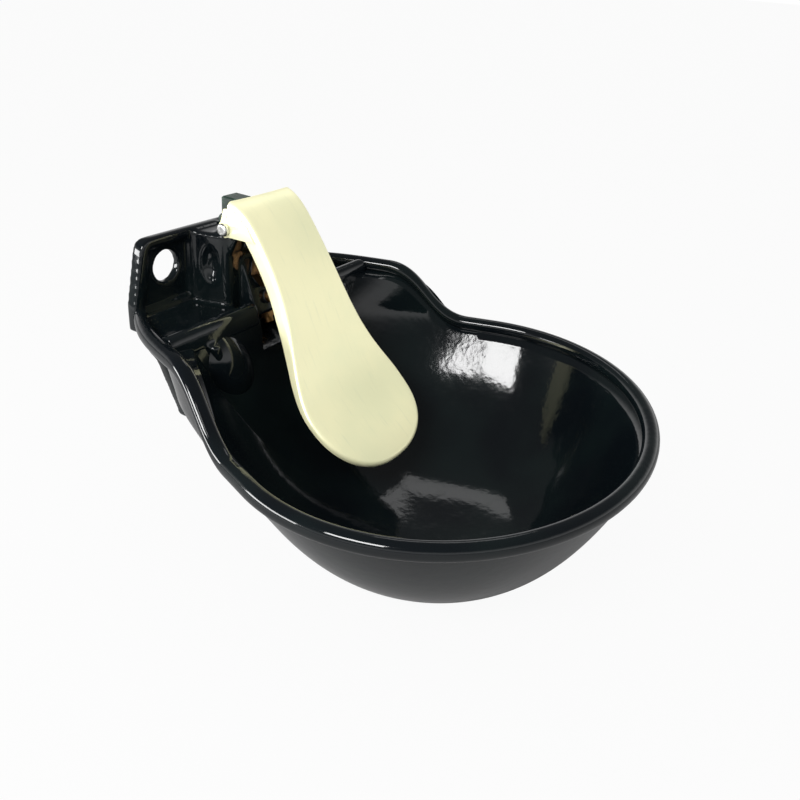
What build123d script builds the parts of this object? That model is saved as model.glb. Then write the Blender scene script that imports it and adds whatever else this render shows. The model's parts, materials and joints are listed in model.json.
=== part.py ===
from build123d import *
import math
import os

os.makedirs("parts", exist_ok=True)

# Wall-hung drinking bowl with a push paddle and a water valve.
# Frame: X across the bowl, +Y into the wall, +Z up. The origin is midway between
# the two wing bolt holes, on the rear mounting face. All sizes are millimetres.

# ---- bowl -------------------------------------------------------------------
bowl_half_width = 130.0      # outer half width across the rim
bowl_front_reach = 110.5     # rim ellipse's semi axis towards the animal
bowl_centre_y = -160.0       # centre of the rim ellipse
bowl_depth = 84.0            # rim top to underside
bowl_roundness = 3.5         # exponent of the underside's profile
bowl_bottom_shift = 17.0     # how far the bottom lies ahead of the rim's centre
bowl_stations = (0.0, 0.30, 0.56, 0.76, 0.89, 0.96, 0.99)
bowl_wall = 6.0
rim_z = -49.0                # rim top at the front and sides
neck_z = -18.0               # rim top at the raised neck, beside the plate
rise_start_y = -112.0        # the rim starts to climb here
rise_end_y = -59.0           # and is level again from here back
bead_width = 9.0
bead_height = 9.0
bead_overhang = 1.5          # the bead stands this far outside the wall
neck_tangent = 17.8          # ellipse angle where the neck's side leaves it, degrees
neck_pull = 0.62             # how long the neck's side runs straight
neck_push = 40.0             # and how long it runs straight at the plate
neck_heading = 50.0          # direction in which the side meets the plate, degrees
neck_fade = 0.6
rear_flat_share = 0.3        # flat part of the rear wall at the bottom, of its half width
rim_pull = 0.70
rim_push = 36.0
rim_heading = 50.0
shelf_z = -24.5              # floor of the ledge between plate and bowl
shelf_thickness = 7.0
lip_y = -45.0                # front lip of the ledge
lip_radius = 4.5

bead_round = 3.5
lip_half = 86.0
inner_neck_heading = 72.0    # the inner wall follows the bead right up to the lip
inner_neck_push = 30.0
pocket_wall = 8.0
pocket_half = 46.0
pocket_mid_drop = 30.0       # the pocket's front slopes back below this depth
pocket_drop = 58.0
edge_step = 0.5              # small step between neighbouring outlines
inner_ease = 1.5             # the inner wall meets the bead this far from its inner edge
notch_half = 20.0            # half width of the outlet's notch
notch_heel_z = -40.0         # notch floor at the column
notch_front_z = -46.0        # notch floor at the ledge's lip
notch_wall = 8.0
rib_drop = 5.0               # the rib behind the bowl starts this far below the notch
leg_web_inset = 2.0
leaf_r = 23.0                # pads on the rear inner wall
leaf_half_length = 35.0
leaf_centre = (-45.0, -34.0, -52.0)
leaf_lean = -28.0            # the pads' lower ends lean in, degrees
leaf_back_y = -44.0          # the pads end inside the wall here

# ---- plate, legs ------------------------------------------------------------
plate_thickness = 7.0
plate_top_z = 18.0
plate_top_half = 64.0
plate_bottom_half = 72.0
plate_corner = 7.0
wing_hole_spacing = 94.0
wing_hole_r = 8.5
wing_border = 5.0            # raised border round each wing
wing_dish = 1.5              # depth of the wing's face below its border
wing_dish_corner = 3.0
wing_inner = 32.0            # the dished face starts beside the column's root
leg_top_half = 64.0          # outer edge of a leg where it leaves the plate
leg_foot_half = 41.0         # outer edge of a leg at its foot
leg_width = 10.0
leg_foot_z = -99.0
leg_web_y = -53.0            # the web runs this far forward, into the bowl's wall
leg_web_rise = 22.0          # and its lower edge climbs by this much
leg_web = 6.0

# ---- housing column ---------------------------------------------------------
column_half = 22.0           # half width at the column's front face
column_root_half = 30.0      # half width where it meets the plate
column_front_y = -27.5
column_top_z = 16.5
column_edge = 3.5
dimple_r = 5.2
dimple_half_height = 11.0
dimple_along = 12.0          # along the flank from the column's front edge
dimple_lift = 3.5            # the cutter's centre stands this far outside the flank
dimple_z = -1.0
channel_y = -14.0            # axis of the vertical water channel
channel_r = 5.0
socket_r = 10.3              # half inch pipe thread, top and bottom
socket_depth = 16.0
inlet_boss_r = 14.0
inlet_foot_z = -76.0
block_half = 12.5            # half width of the sloped valve block
valve_tilt = 20.0            # the valve's axis rises this much towards the paddle
valve_face_y = -31.5         # centre of the block's sloped face
valve_face_z = -8.0
block_above = 20.0           # the sloped face runs this far above its centre
block_below = 24.0           # and this far below it

# ---- hinge and paddle -------------------------------------------------------
hinge_y = -28.0
hinge_z = 21.0
pin_r = 2.5
pin_clearance = 0.05
pin_head_r = 3.6
pin_head_height = 2.4
pin_tail = 7.0
lug_r = 7.5
lug_width = 10.0
lug_foot = 4.0               # the lug's rear edge slopes out this far
lug_root = 14.0              # its front edge runs this far down the column
lug_outer = 21.5
lug_gap_depth = 47.0         # the gap between the lugs runs back over the water channel
washer_gap = 0.3
washer_r = 4.1
paddle_sheet = 1.6
paddle_half = 25.6           # half width of the straight shank
paddle_spoon_half = 43.5
paddle_ear_r = 4.4           # the flange is this wide round the hinge pin
ear_top = (1.0, 12.0)        # corners of the ear's web, from the hinge pin (Y, Z)
ear_front = (-14.0, 7.0)
ear_low = (-20.0, -4.0)
flange_depth = 9.0
flange_tip_depth = 3.0

pin_washer = 1.2
cotter_r = 0.8
cotter_below = 4.0
cotter_above = 2.0
cotter_eye_r = 1.7
paddle_top_z = 37.0
paddle_flare_z = 6.0
paddle_spoon_z = -67.0
paddle_tip_z = -93.0
paddle_side = (              # side view of the paddle's front face, (Y, Z)
    (-31, 37.5), (-47.5, 25), (-60, 7), (-79, -25.5), (-89, -46.5), (-104, -64), (-136, -94),
)

# ---- valve ------------------------------------------------------------------
valve_thread_r = 7.0
valve_bore_depth = 14.0
valve_pilot_depth = 19.0     # room behind the bore for the opened seal disc
thread_clearance = 0.05
gasket_thickness = 1.2
gasket_width = 1.2
hex_across = 17.0
hex_height = 6.0
barrel_r = 6.2
barrel_length = 7.0
body_bore_r = 5.2
seat_thickness = 2.5
seat_orifice_r = 3.0
stem_r = 1.6
stem_clearance = 0.05
disc_r = 4.2
disc_thickness = 2.0
disc_gap = 0.3
gland_length = 5.0
cap_r = 3.6
cap_length = 6.0
tip_gap = 0.5
stem_ring_r = 0.9
gland_r = 4.2
gland_flange = 1.6
collar_r = 3.4
collar_thickness = 1.5
stem_in_cap = 4.0
spring_r = 2.8
spring_wire = 0.7
spring_turns = 4.5
nozzle_r = 4.6
nozzle_length = 6.0
nozzle_shank_r = 3.5
nozzle_seat_depth = 7.0
passage_r = 2.2
passage_inset = 5.0          # the water passage runs this far behind the sloped face
block_heel_length = 13.0
screw_down = 15.0            # the flow screw sits this far below the valve
screw_r = 2.5
screw_head_r = 4.0
screw_head_height = 2.4
ring_thickness = 1.0
seat_inner_end = 9.8         # depth of the valve seat inside the block
strainer_height = 6.0
strainer_r = 4.6
strainer_hole_r = 0.7
strainer_holes = 6
strainer_sheet = 1.0
strainer_seat_r = 9.0        # recess above the inlet's thread

# ---- plug -------------------------------------------------------------------
plug_square = 12.0
plug_head_height = 11.0
plug_shoulder = 4.5
plug_relief = 0.7            # space round the plug where it passes the plate
plug_engagement = 12.0       # how far the plug is screwed in
plug_edge = 0.8


# ---- derived places ---------------------------------------------------------
above_z = neck_z + 4.0                  # cutting bodies start above the raised rim
far = 400.0                             # longer than anything on the bowl
stand_up = (Align.CENTER, Align.CENTER, Align.MIN)
hang_down = (Align.CENTER, Align.CENTER, Align.MAX)
valve_out = (0.0, -math.cos(math.radians(valve_tilt)), math.sin(math.radians(valve_tilt)))
valve_face = Plane(origin=(0, valve_face_y, valve_face_z), x_dir=(1, 0, 0), z_dir=valve_out)


def mix(a, b, t):
    return a + (b - a) * t


def oval_share(fall):
    """Share of the rim's width that is left at this share of the depth."""
    return (1.0 - max(fall, 0.0)) ** (1.0 / bowl_roundness)


def plan_edges(a, b, centre_y, rear_y, rear_half, heading, pull, push):
    """Closed plan: front ellipse, two neck sides and a rear line."""
    turn = math.radians(neck_tangent)
    leave = Vector(a * math.cos(turn), centre_y + b * math.sin(turn))
    along = Vector(-a * math.sin(turn), b * math.cos(turn)).normalized()
    corner = Vector(rear_half, rear_y)
    reach = (rear_y - leave.Y) / along.Y
    rear_handle = corner + Vector(1, 0).rotate(Axis.Z, -heading) * push
    side = (leave, leave + along * reach * pull, rear_handle, corner)
    swept = 180 + 2 * neck_tangent
    EllipticalCenterArc((0, centre_y), a, b, start_angle=180 - neck_tangent, arc_size=swept)
    Bezier(*side)
    Line(corner, (-rear_half, rear_y))
    Bezier(*[(-p.X, p.Y) for p in reversed(side)])


def bowl_plans(inset, depth, rear_top_y, rear_top_half, top_heading, top_push):
    """Plans of the bowl's wall from above the neck down to the flat of the bottom."""
    plans = []
    for z in [above_z] + [rim_z - depth * k for k in bowl_stations]:
        fall = (rim_z - z) / depth
        share = oval_share(fall)
        a = (bowl_half_width - inset) * share
        b = (bowl_front_reach - inset) * share
        centre_y = bowl_centre_y - bowl_bottom_shift * max(1.0 - share, 0.0)
        down = ((above_z - z) / (above_z - rim_z + depth)) ** neck_fade
        rear_y = mix(rear_top_y, centre_y + b, down)
        rear_half = mix(rear_top_half, rear_flat_share * a, down)
        heading = mix(top_heading, 0.0, down)
        push = mix(top_push, 0.5 * (a - rear_half), down)
        with BuildSketch(Plane.XY.offset(z)) as plan:
            with BuildLine():
                plan_edges(a, b, centre_y, rear_y, rear_half, heading, neck_pull, push)
            make_face()
        plans.append(plan.sketch)
    return plans


def rim_edges(inset, rear_y):
    """Plan of the rim bead's outline."""
    a = bowl_half_width - inset
    b = bowl_front_reach - inset
    plan_edges(a, b, bowl_centre_y, rear_y, plate_bottom_half - inset, rim_heading, rim_pull, rim_push)


def rise_edges(drop_top, drop_low):
    """Side view of a band that follows the rim's rise, between two depths below its top."""
    handle = 0.45 * (rise_end_y - rise_start_y)
    ends = []
    for drop in (drop_top, drop_low):
        foot = (rise_start_y, rim_z - drop)
        crest = (rise_end_y, neck_z - drop)
        Line((-far, rim_z - drop), foot)
        Bezier(foot, (foot[0] + handle, foot[1]), (crest[0] - handle, crest[1]), crest)
        Line(crest, (far, neck_z - drop))
        ends.append(((-far, rim_z - drop), (far, neck_z - drop)))
    Line(ends[0][0], ends[1][0])
    Line(ends[0][1], ends[1][1])


pocket_top_z = shelf_z - shelf_thickness
plate_low_z = pocket_top_z
along_face = Vector(0, -math.sin(math.radians(valve_tilt)), -math.cos(math.radians(valve_tilt)))
outward = Vector(*valve_out)
face_mid = Vector(0, valve_face_y, valve_face_z)
face_top = face_mid - along_face * block_above
face_low = face_mid + along_face * block_below
block_heel = face_low - outward * block_heel_length
nozzle_plane = Plane(origin=face_low - outward * passage_inset, x_dir=(1, 0, 0), z_dir=along_face)
screw_plane = Plane(origin=face_mid + along_face * screw_down, x_dir=(1, 0, 0), z_dir=-outward)

# ---- bowl casting -----------------------------------------------------------
with BuildPart() as rim_bead:
    with BuildSketch(Plane.XY.offset(-far / 2)):
        with BuildLine():
            rim_edges(0.0, -plate_thickness)
        make_face()
    extrude(amount=far)
    with BuildSketch(Plane.XY.offset(-far / 2)):
        with BuildLine():
            rim_edges(bead_width + edge_step, -edge_step)
        make_face()
    extrude(amount=far, mode=Mode.SUBTRACT)
    with BuildSketch(Plane.YZ):
        with BuildLine():
            rise_edges(0.0, bead_height)
        make_face()
    extrude(amount=far, both=True, mode=Mode.INTERSECT)
    front_point = (0, bowl_centre_y - bowl_front_reach, rim_z)
    fillet(rim_bead.edges().sort_by_distance(front_point)[0], bead_round)

# rounded pads on the bowl's rear inner wall, below the ledge
with BuildPart() as leaf:
    with BuildSketch(Plane.XZ):
        Ellipse(leaf_r, leaf_half_length)
        Rectangle(far, far, align=(Align.MAX, Align.CENTER), mode=Mode.SUBTRACT)
    revolve(axis=Axis.Z)
with BuildPart() as leaf_pads:
    with Locations(Location(leaf_centre, (0, leaf_lean, 0))):
        add(leaf.part)
    mirror(about=Plane.YZ)
    with Locations((0, leaf_back_y, 0)):
        Box(far, far, far, align=(Align.CENTER, Align.MAX, Align.CENTER), mode=Mode.INTERSECT)

with BuildPart() as cavity:
    inner_inset = bead_width - inner_ease
    inner_depth = bowl_depth - bowl_wall
    loft(bowl_plans(inner_inset, inner_depth, lip_y, lip_half, inner_neck_heading, inner_neck_push))

# oval cutters for the column's flanks
flank_run = Vector(column_half - column_root_half, -plate_thickness - column_front_y).normalized()
flank_out = Vector(-flank_run.Y, flank_run.X)
dimple_centre = Vector(-column_half, column_front_y) + flank_run * dimple_along + flank_out * dimple_lift
with BuildPart() as dimple:
    with BuildSketch(Plane.XZ):
        Ellipse(dimple_r, dimple_half_height)
        Rectangle(far, far, align=(Align.MAX, Align.CENTER), mode=Mode.SUBTRACT)
    revolve(axis=Axis.Z)
with BuildPart() as dimples:
    with Locations((dimple_centre.X, dimple_centre.Y, dimple_z)):
        add(dimple.part)
    mirror(about=Plane.YZ)

# legs: a flat strip in the wall plane with a web that runs forward into the bowl
with BuildPart() as legs:
    with BuildSketch(Plane.XZ) as leg_strip:
        with BuildLine():
            Polyline(
                (leg_top_half, plate_low_z + 2),
                (leg_foot_half, leg_foot_z + leg_width / 2),
                (leg_foot_half - leg_width, leg_foot_z + leg_width / 2),
                (leg_top_half - leg_width, plate_low_z + 2),
                close=True,
            )
        make_face()
        with Locations((leg_foot_half - leg_width / 2, leg_foot_z + leg_width / 2)):
            Circle(leg_width / 2)
    extrude(amount=plate_thickness)
    with BuildSketch(Plane.XZ):
        with BuildLine():
            Polyline(
                (leg_top_half - leg_web_inset, plate_low_z + 2),
                (leg_foot_half - leg_web_inset, leg_foot_z + leg_width / 2),
                (leg_foot_half - leg_width + leg_web_inset, leg_foot_z + leg_width / 2),
                (leg_top_half - leg_width + leg_web_inset, plate_low_z + 2),
                close=True,
            )
        make_face()
    extrude(amount=-leg_web_y)
    with BuildSketch(Plane.YZ):
        with BuildLine():
            Polyline(
                (0, neck_z), (0, leg_foot_z), (-plate_thickness, leg_foot_z),
                (leg_web_y, leg_foot_z + leg_web_rise), (leg_web_y, neck_z), close=True,
            )
        make_face()
    extrude(amount=far, both=True, mode=Mode.INTERSECT)
    mirror(about=Plane.YZ)

with BuildPart() as bowl_casting:
    rear_y = -plate_thickness
    loft(bowl_plans(bead_overhang, bowl_depth, rear_y, plate_bottom_half, neck_heading, neck_push))
    with BuildSketch(Plane.XY.offset(-far / 2)):
        with BuildLine():
            rim_edges(bead_overhang, -plate_thickness)
        make_face()
    extrude(amount=far, mode=Mode.INTERSECT)
    # everything above the rim's rise goes
    with BuildSketch(Plane.YZ):
        with BuildLine():
            rise_edges(-far, bead_height / 2)
        make_face()
    extrude(amount=far, both=True, mode=Mode.SUBTRACT)
    # open pocket behind the bowl, under the ledge
    with BuildSketch(Plane.YZ):
        with BuildLine():
            Polyline(
                (plate_thickness, pocket_top_z),
                (lip_y + pocket_wall, pocket_top_z),
                (lip_y, pocket_top_z - pocket_mid_drop),
                (plate_thickness, pocket_top_z - pocket_drop),
                close=True,
            )
        make_face()
    extrude(amount=pocket_half, both=True, mode=Mode.SUBTRACT)
    add(legs.part)
    # floor of the ledge, and the thick wall behind the outlet's notch
    with BuildSketch(Plane.XY.offset(pocket_top_z)):
        with BuildLine():
            rim_edges(bead_overhang + edge_step, -plate_thickness)
        make_face()
        with Locations((0, lip_y + lip_radius - far / 2)):
            Rectangle(far, far, mode=Mode.SUBTRACT)
    extrude(amount=shelf_thickness + edge_step)
    with BuildSketch(Plane.YZ):
        with BuildLine():
            Polyline(
                (channel_y, pocket_top_z), (channel_y, notch_heel_z - notch_wall),
                (lip_y, notch_front_z - notch_wall), (lip_y, pocket_top_z), close=True,
            )
        make_face()
    extrude(amount=notch_half + notch_wall, both=True)
    # rim, bowl and ledge
    add(rim_bead.part)
    add(cavity.part, mode=Mode.SUBTRACT)
    with BuildSketch(Plane.XY.offset(shelf_z)):
        with BuildLine():
            rim_edges(bead_width - edge_step, -edge_step)
        make_face()
        with Locations((0, lip_y + lip_radius - far / 2)):
            Rectangle(far, far, mode=Mode.SUBTRACT)
    extrude(amount=far, mode=Mode.SUBTRACT)
    with Locations((0, lip_y + lip_radius / 2, neck_z - lip_radius)):
        Cylinder(lip_radius, 2 * lip_half, rotation=(0, 90, 0))
    # notch in the ledge under the valve, through which the water runs down
    with BuildSketch(Plane.YZ):
        with BuildLine():
            Polyline(
                (column_front_y, far), (column_front_y, notch_heel_z),
                (lip_y - notch_wall, notch_front_z), (lip_y - notch_wall, far), close=True,
            )
        make_face()
    extrude(amount=notch_half, both=True, mode=Mode.SUBTRACT)
    # back plate with its wings
    with BuildSketch(Plane.XZ):
        with BuildLine():
            Polyline(
                (-plate_bottom_half, plate_low_z), (plate_bottom_half, plate_low_z),
                (plate_bottom_half, neck_z), (plate_top_half, plate_top_z),
                (-plate_top_half, plate_top_z), (-plate_bottom_half, neck_z), close=True,
            )
        make_face()
        fillet(vertices().group_by(Axis.Y)[-1], plate_corner)
    extrude(amount=plate_thickness)
    with BuildSketch(Plane.XZ.offset(plate_thickness)):
        with BuildLine():
            Polyline(
                (wing_inner, shelf_z + wing_border),
                (plate_bottom_half - wing_border - 2, shelf_z + wing_border),
                (plate_top_half - wing_border, plate_top_z - wing_border),
                (wing_inner, plate_top_z - wing_border),
                close=True,
            )
        make_face()
        fillet(vertices(), wing_dish_corner)
        mirror(about=Plane.YZ)
    extrude(amount=-wing_dish, mode=Mode.SUBTRACT)
    with Locations(Plane.XZ):
        with GridLocations(wing_hole_spacing, 1, 2, 1):
            Hole(wing_hole_r, depth=far)
    # housing column and the boss of the lower inlet
    with BuildSketch(Plane.XY.offset(pocket_top_z)):
        with BuildLine():
            Polyline(
                (-column_root_half, -plate_thickness + 1), (-column_half, column_front_y),
                (column_half, column_front_y), (column_root_half, -plate_thickness + 1), close=True,
            )
        make_face()
        fillet(vertices().group_by(Axis.Y)[0], column_edge)
    extrude(amount=column_top_z - pocket_top_z)
    with BuildSketch(Plane.XY.offset(column_top_z)):
        with Locations((0, channel_y)):
            Circle(inlet_boss_r)
    extrude(amount=inlet_foot_z - column_top_z)
    with BuildSketch(Plane.YZ):
        with BuildLine():
            Polyline(
                (channel_y, notch_heel_z - rib_drop), (channel_y, inlet_foot_z + rib_drop),
                (lip_y - rib_drop, inlet_foot_z + rib_drop), (lip_y, notch_front_z - rib_drop), close=True,
            )
        make_face()
    extrude(amount=leg_web / 2, both=True)
    # sloped block that carries the valve
    with BuildSketch(Plane.YZ):
        with BuildLine():
            Polyline(
                (channel_y, face_top.Z + 2), (face_top.Y, face_top.Z + 2), (face_top.Y, face_top.Z),
                (face_low.Y, face_low.Z), (block_heel.Y, block_heel.Z),
                (channel_y, face_low.Z), close=True,
            )
        make_face()
    extrude(amount=block_half, both=True)
    # oval dimples in the column's flanks
    add(dimples.part, mode=Mode.SUBTRACT)
    # hinge lugs
    with BuildSketch(Plane.YZ) as lug_side:
        with Locations((hinge_y, hinge_z)):
            Circle(lug_r)
        with BuildLine():
            Polyline(
                (hinge_y - lug_r, hinge_z),
                (hinge_y + lug_r, hinge_z),
                (hinge_y + lug_r + lug_foot, column_top_z - edge_step),
                (column_front_y + edge_step, column_top_z - lug_root),
                close=True,
            )
        make_face()
    extrude(to_extrude=lug_side.sketch, amount=lug_outer, both=True)
    with Locations((0, hinge_y - lug_r, column_top_z)):
        Box(2 * (lug_outer - lug_width), lug_gap_depth, far, align=stand_up, mode=Mode.SUBTRACT)
    # water ways and bores
    with Locations((0, channel_y, 0)):
        Cylinder(channel_r, 300, mode=Mode.SUBTRACT)
    with Locations((0, channel_y, column_top_z)):
        Cylinder(socket_r, socket_depth, align=hang_down, mode=Mode.SUBTRACT)
        Cylinder(socket_r + plug_relief, socket_depth, align=stand_up, mode=Mode.SUBTRACT)
    with Locations((0, channel_y, inlet_foot_z)):
        Cylinder(socket_r, socket_depth, align=stand_up, mode=Mode.SUBTRACT)
        Cylinder(strainer_seat_r, socket_depth + strainer_sheet, align=stand_up, mode=Mode.SUBTRACT)
    with BuildSketch(valve_face):
        Circle(valve_thread_r)
    extrude(amount=-valve_bore_depth, mode=Mode.SUBTRACT)
    with BuildSketch(valve_face):
        Circle(body_bore_r)
    extrude(amount=-valve_pilot_depth, mode=Mode.SUBTRACT)
    with BuildSketch(nozzle_plane):
        Circle(passage_r)
    extrude(amount=-block_below, mode=Mode.SUBTRACT)
    with BuildSketch(nozzle_plane):
        Circle(nozzle_shank_r + thread_clearance)
    extrude(amount=-nozzle_seat_depth, mode=Mode.SUBTRACT)
    with BuildSketch(screw_plane):
        Circle(screw_r + thread_clearance)
    extrude(amount=passage_inset, mode=Mode.SUBTRACT)
    with Locations((0, hinge_y, hinge_z)):
        Cylinder(pin_r + pin_clearance, 4 * lug_outer, rotation=(0, 90, 0), mode=Mode.SUBTRACT)
    add(leaf_pads.part)

bowl_casting.part.label = "bowl_casting"
export_step(bowl_casting.part, "parts/bowl_casting.step")


# ---- paddle -----------------------------------------------------------------
def paddle_line(tip_offset, top_offset):
    """The paddle's side view, moved off its front face towards the wall."""
    points = [Vector(*p) for p in paddle_side]
    moved = []
    for i, p in enumerate(points):
        before = points[max(i - 1, 0)]
        after = points[min(i + 1, len(points) - 1)]
        run = (after - before).normalized()
        offset = mix(top_offset, tip_offset, i / (len(points) - 1))
        moved.append(p + Vector(-run.Y, run.X) * offset)
    return moved


def paddle_region(tip_near, top_near, tip_far, top_far):
    near = paddle_line(tip_near, top_near)
    away = paddle_line(tip_far, top_far)
    Spline(*near)
    Spline(*away)
    Line(near[0], away[0])
    Line(near[-1], away[-1])


def paddle_front(inset, extra_top):
    """Half of the paddle's front view: straight shank and round spoon."""
    top = (paddle_half - inset, paddle_top_z + extra_top)
    shank_end = (paddle_half - inset, paddle_flare_z)
    tip = (0, paddle_tip_z + inset)
    Line((0, top[1]), top)
    Line(top, shank_end)
    Spline(
        shank_end,
        (mix(paddle_half, paddle_spoon_half, 0.55) - inset, mix(paddle_flare_z, paddle_spoon_z, 0.66)),
        (paddle_spoon_half - inset, paddle_spoon_z),
        (paddle_spoon_half * 0.66 - inset * 0.8, mix(paddle_spoon_z, paddle_tip_z, 0.80) + inset * 0.6),
        tip,
        tangents=[(0, -1), (-1, 0)],
    )
    Line(tip, (0, top[1]))


with BuildPart() as paddle_rim:
    with BuildSketch(Plane.XZ.offset(-far / 2)):
        with BuildLine():
            paddle_front(0, 0)
        make_face()
        with BuildLine():
            paddle_front(paddle_sheet, 20)
        make_face(mode=Mode.SUBTRACT)
        mirror(about=Plane.YZ)
    extrude(amount=far)
    with BuildSketch(Plane.YZ):
        with BuildLine():
            paddle_region(paddle_sheet / 2, paddle_sheet / 2, flange_tip_depth, flange_depth)
        make_face()
        with Locations((hinge_y, hinge_z)):
            Circle(paddle_ear_r)
        with BuildLine():
            Polyline(
                (hinge_y - paddle_ear_r, hinge_z),
                (hinge_y + paddle_ear_r, hinge_z),
                (hinge_y + ear_top[0], hinge_z + ear_top[1]),
                (hinge_y + ear_front[0], hinge_z + ear_front[1]),
                (hinge_y + ear_low[0], hinge_z + ear_low[1]),
                close=True,
            )
        make_face()
    extrude(amount=paddle_spoon_half + 1, both=True, mode=Mode.INTERSECT)

with BuildPart() as paddle:
    with BuildSketch(Plane.XZ.offset(-far / 2)):
        with BuildLine():
            paddle_front(0, 0)
        make_face()
        mirror(about=Plane.YZ)
    extrude(amount=far)
    with BuildSketch(Plane.YZ):
        with BuildLine():
            paddle_region(0, 0, paddle_sheet, paddle_sheet)
        make_face()
    extrude(amount=paddle_spoon_half + 1, both=True, mode=Mode.INTERSECT)
    add(paddle_rim.part)
    with Locations((0, hinge_y, hinge_z)):
        Cylinder(pin_r + pin_clearance, 4 * paddle_half, rotation=(0, 90, 0), mode=Mode.SUBTRACT)
paddle.part.label = "paddle"
export_step(paddle.part, "parts/paddle.step")

# ---- hinge pin, washers, split pin -------------------------------------------
hinge_left = Plane(origin=(-paddle_half, hinge_y, hinge_z), x_dir=(0, 1, 0), z_dir=(1, 0, 0))
pin_end_x = paddle_half + washer_gap + pin_washer + pin_tail
with BuildPart() as hinge_pin:
    with BuildSketch(hinge_left):
        Circle(pin_r)
    extrude(amount=paddle_half + pin_end_x)
    with BuildSketch(hinge_left.offset(-washer_gap)):
        Circle(pin_head_r)
    extrude(amount=-pin_head_height)
    fillet(faces().sort_by(Axis.X)[0].edges(), pin_head_height * 0.6)
    with BuildSketch(hinge_left):
        Circle(pin_r)
    extrude(amount=-washer_gap)
    chamfer(faces().sort_by(Axis.X)[-1].edges(), 0.6)
    with Locations((pin_end_x - pin_tail / 2, hinge_y, hinge_z)):
        Cylinder(cotter_r, 4 * pin_r, mode=Mode.SUBTRACT)
hinge_pin.part.label = "hinge_pin"
export_step(hinge_pin.part, "parts/hinge_pin.step")


def washer_at(x, thickness):
    with BuildPart() as ring:
        with BuildSketch(Plane(origin=(x, hinge_y, hinge_z), x_dir=(0, 1, 0), z_dir=(1, 0, 0))):
            Circle(washer_r)
            Circle(pin_r + pin_clearance, mode=Mode.SUBTRACT)
        extrude(amount=thickness)
    return ring.part


ear_inner = paddle_half - paddle_sheet
spacer = ear_inner - lug_outer - 2 * washer_gap
for name, x, thickness in (
    ("hinge_washer_left", -lug_outer - washer_gap - spacer, spacer),
    ("hinge_washer_right", lug_outer + washer_gap, spacer),
    ("pin_washer", paddle_half + washer_gap, pin_washer),
):
    washer = washer_at(x, thickness)
    washer.label = name
    export_step(washer, "parts/" + name + ".step")

with BuildPart() as split_pin:
    with Locations((pin_end_x - pin_tail / 2, hinge_y, hinge_z - pin_r - cotter_below)):
        Cylinder(cotter_r - pin_clearance, cotter_below + 2 * pin_r + cotter_above, align=stand_up)
    with Locations((pin_end_x - pin_tail / 2, hinge_y, hinge_z + pin_r + cotter_above + cotter_eye_r)):
        Torus(cotter_eye_r, cotter_r - pin_clearance, rotation=(0, 90, 0))
split_pin.part.label = "split_pin"
export_step(split_pin.part, "parts/split_pin.step")

# ---- top plug ---------------------------------------------------------------
with BuildPart() as top_plug:
    with Locations((0, channel_y, column_top_z - plug_engagement)):
        Cylinder(socket_r - thread_clearance, plug_engagement + plug_shoulder, align=stand_up)
    chamfer(edges().group_by(Axis.Z)[-1], plug_edge)
    with Locations((0, channel_y, column_top_z + plug_shoulder)):
        Box(plug_square, plug_square, plug_head_height, align=stand_up)
    chamfer(faces().sort_by(Axis.Z)[-1].edges(), plug_edge)
top_plug.part.label = "top_plug"
export_step(top_plug.part, "parts/top_plug.step")

# ---- valve ------------------------------------------------------------------
hex_front = gasket_thickness + hex_height
barrel_front = hex_front + barrel_length
gland_seat = barrel_front - gland_length
ring_seat = gland_seat - 2 * stem_ring_r
with BuildPart() as valve_body:
    with BuildSketch(valve_face.offset(gasket_thickness)):
        Circle(valve_thread_r - thread_clearance)
    extrude(amount=-(valve_bore_depth - 0.5 + gasket_thickness))
    with BuildSketch(valve_face.offset(gasket_thickness)):
        RegularPolygon(hex_across / 2, 6, major_radius=False)
    extrude(amount=hex_height)
    with BuildSketch(valve_face.offset(hex_front)):
        Circle(barrel_r)
    extrude(amount=barrel_length)
    with BuildSketch(valve_face.offset(ring_seat)):
        Circle(body_bore_r)
    extrude(amount=-far, mode=Mode.SUBTRACT)
    with BuildSketch(valve_face.offset(ring_seat)):
        Circle(stem_r + 2 * stem_ring_r + 2 * stem_clearance)
    extrude(amount=2 * stem_ring_r, mode=Mode.SUBTRACT)
    with BuildSketch(valve_face.offset(gland_seat)):
        Circle(gland_r)
    extrude(amount=gland_length, mode=Mode.SUBTRACT)
    passage_start = face_mid - outward * passage_inset
    with BuildSketch(Plane(origin=passage_start, x_dir=(1, 0, 0), z_dir=along_face)):
        Circle(passage_r)
    extrude(amount=valve_thread_r + 1, mode=Mode.SUBTRACT)
valve_body.part.label = "valve_body"
export_step(valve_body.part, "parts/valve_body.step")


def ring_on_axis(name, start, length, outer_r, inner_r):
    """A plain ring on the valve's axis, from start outwards."""
    with BuildPart() as ring:
        with BuildSketch(valve_face.offset(start)):
            Circle(outer_r)
            Circle(inner_r, mode=Mode.SUBTRACT)
        extrude(amount=length)
    ring.part.label = name
    export_step(ring.part, "parts/" + name + ".step")


ring_on_axis("body_gasket", 0, gasket_thickness, valve_thread_r + gasket_width, valve_thread_r)
ring_on_axis("valve_seat", -seat_inner_end, seat_thickness, body_bore_r, seat_orifice_r)
ring_on_axis("seal_disc", -seat_inner_end - disc_gap - disc_thickness, disc_thickness, disc_r, stem_r)

with BuildPart() as stem_ring:
    with BuildSketch(Plane.XZ):
        with Locations((stem_r + stem_clearance + stem_ring_r, 0)):
            Circle(stem_ring_r)
    revolve(axis=Axis.Z)
stem_o_ring = stem_ring.part.moved(valve_face.offset(ring_seat + stem_ring_r).location)
stem_o_ring.label = "stem_o_ring"
export_step(stem_o_ring, "parts/stem_o_ring.step")

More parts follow.
